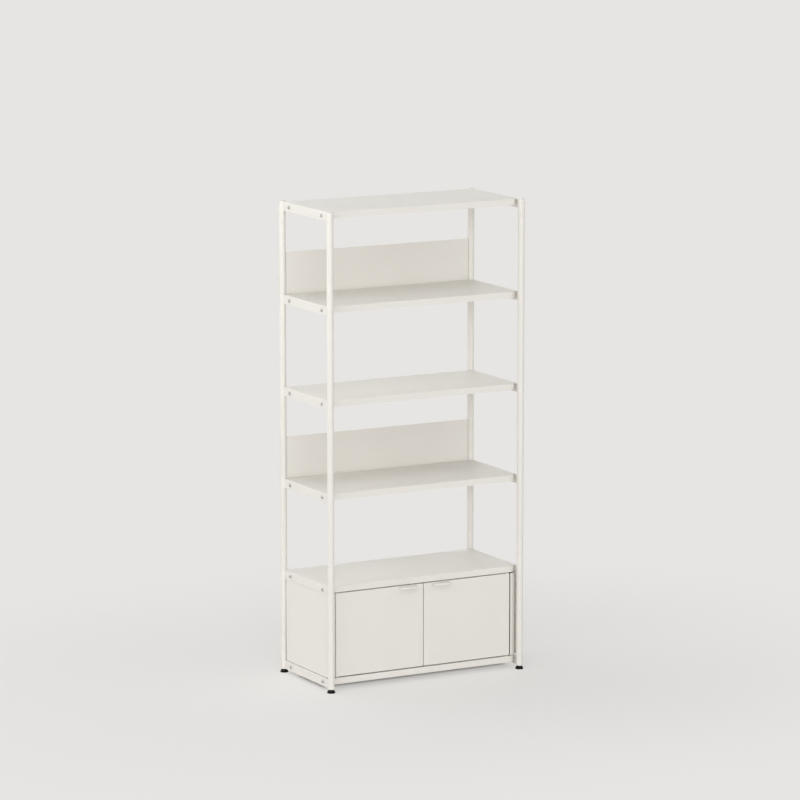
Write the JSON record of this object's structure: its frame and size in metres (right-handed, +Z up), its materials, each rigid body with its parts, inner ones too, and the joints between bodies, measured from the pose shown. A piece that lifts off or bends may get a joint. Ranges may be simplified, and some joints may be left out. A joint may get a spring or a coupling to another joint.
{
  "type": "bookcase with cabinet doors",
  "caption": "Tall open steel bookcase of round posts, flat crossbars and folded shelf trays, with low wrapped back panels and a closed cabinet with swinging doors in the lowest tier.",
  "frame": {"origin": "on the floor, under the middle of the bookcase", "axes": "+X to the right seen from the front, +Y to the back, +Z up"},
  "size_m": [0.839, 0.413, 1.8],
  "materials": {
    "powder_coat": "satin powder coat, warm off-white",
    "cap_plastic": "matte, matched to the posts",
    "insert_plastic": "matte black",
    "foot_plastic": "matte black",
    "bush_plastic": "matte off-white",
    "catch_plastic": "matte off-white",
    "fastener_steel": "zinc plated"
  },
  "bodies": {
    "frame": {"post_front_left": "powder_coat", "post_cap_front_left": "cap_plastic", "foot_insert_front_left": "insert_plastic", "post_rear_left": "powder_coat", "post_cap_rear_left": "cap_plastic", "foot_insert_rear_left": "insert_plastic", "post_front_right": "powder_coat", "post_cap_front_right": "cap_plastic", "foot_insert_front_right": "insert_plastic", "post_rear_right": "powder_coat", "post_cap_rear_right": "cap_plastic", "foot_insert_rear_right": "insert_plastic", "crossbar_left_1": "powder_coat", "crossbar_left_2": "powder_coat", "crossbar_left_3": "powder_coat", "crossbar_left_4": "powder_coat", "crossbar_left_5": "powder_coat", "crossbar_left_6": "powder_coat", "cabinet_side_left": "powder_coat", "crossbar_right_1": "powder_coat", "crossbar_right_2": "powder_coat", "crossbar_right_3": "powder_coat", "crossbar_right_4": "powder_coat", "crossbar_right_5": "powder_coat", "crossbar_right_6": "powder_coat", "cabinet_side_right": "powder_coat", "shelf_1": "powder_coat", "shelf_2": "powder_coat", "shelf_3": "powder_coat", "shelf_4": "powder_coat", "shelf_5": "powder_coat", "cabinet_floor": "powder_coat", "back_panel_1": "powder_coat", "back_panel_2": "powder_coat", "back_panel_3": "powder_coat", "cabinet_back": "powder_coat", "back_foot_strip": "powder_coat", "side_foot_strips": "powder_coat", "tray_stiffeners": "powder_coat", "tray_screws": "fastener_steel", "tray_nuts": "fastener_steel", "panel_screws": "fastener_steel", "cabinet_screws": "fastener_steel", "pivot_pins": "fastener_steel", "magnet_catches": "catch_plastic"},
    "left_door": {"door_left": "powder_coat", "door_pull_left": "powder_coat", "door_bushes_left": "bush_plastic", "strike_plate_left": "fastener_steel"},
    "right_door": {"door_right": "powder_coat", "door_pull_right": "powder_coat", "door_bushes_right": "bush_plastic", "strike_plate_right": "fastener_steel"},
    "foot_front_left": {"levelling_foot_front_left": "foot_plastic"},
    "foot_rear_left": {"levelling_foot_rear_left": "foot_plastic"},
    "foot_front_right": {"levelling_foot_front_right": "foot_plastic"},
    "foot_rear_right": {"levelling_foot_rear_right": "foot_plastic"}
  },
  "joints": [
    {"name": "left_door_hinge", "type": "hinge", "parent": "frame", "child": "left_door", "pos_m": [-0.3635, -0.1615, 0.211], "axis": [0, 0, -1], "range_deg": [0, 105]},
    {"name": "right_door_hinge", "type": "hinge", "parent": "frame", "child": "right_door", "pos_m": [0.3635, -0.1615, 0.211], "axis": [0, 0, 1], "range_deg": [0, 105]},
    {"name": "front_left_foot_screw", "type": "slide", "parent": "frame", "child": "foot_front_left", "axis": [0, 0, -1], "range_m": [0, 0.012]},
    {"name": "rear_left_foot_screw", "type": "slide", "parent": "frame", "child": "foot_rear_left", "axis": [0, 0, -1], "range_m": [0, 0.012]},
    {"name": "front_right_foot_screw", "type": "slide", "parent": "frame", "child": "foot_front_right", "axis": [0, 0, -1], "range_m": [0, 0.012]},
    {"name": "rear_right_foot_screw", "type": "slide", "parent": "frame", "child": "foot_rear_right", "axis": [0, 0, -1], "range_m": [0, 0.012]}
  ]
}
